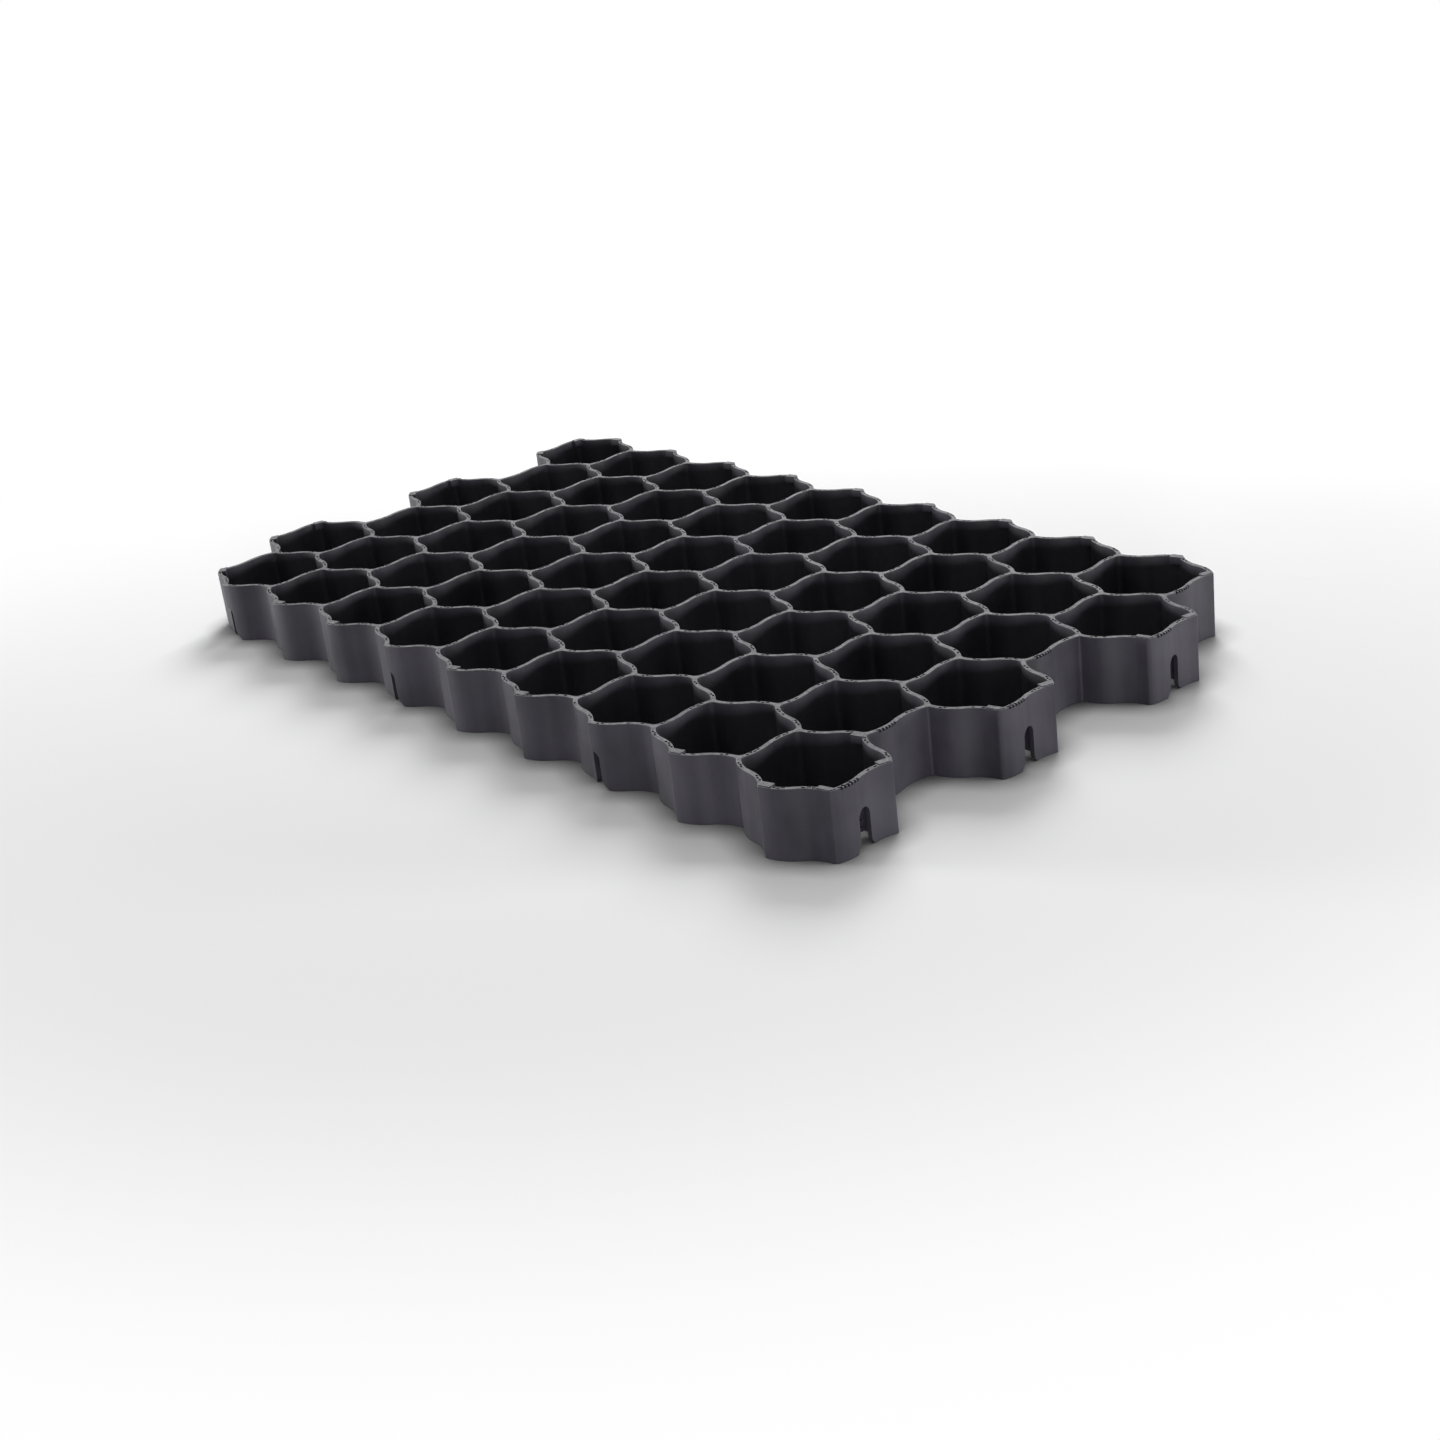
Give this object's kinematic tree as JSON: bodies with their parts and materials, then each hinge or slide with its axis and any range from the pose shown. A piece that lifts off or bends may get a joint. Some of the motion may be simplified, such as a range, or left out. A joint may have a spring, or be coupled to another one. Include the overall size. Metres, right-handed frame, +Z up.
{
  "type": "grass paver grid",
  "caption": "Flat honeycomb lawn grid of moulded plastic with S-curved cell walls open top and bottom, and slots and tongues on its edges that join laid panels.",
  "frame": {"origin": "centre of the footprint at the ground", "axes": "+X along the long rows towards the end with slots, +Y across the rows towards the edge with tongues, +Z up"},
  "size_m": [0.6948, 0.3944, 0.042],
  "materials": {
    "grid_plastic": "satin charcoal"
  },
  "bodies": {
    "root": {"paver_grid": "grid_plastic"}
  },
  "joints": []
}
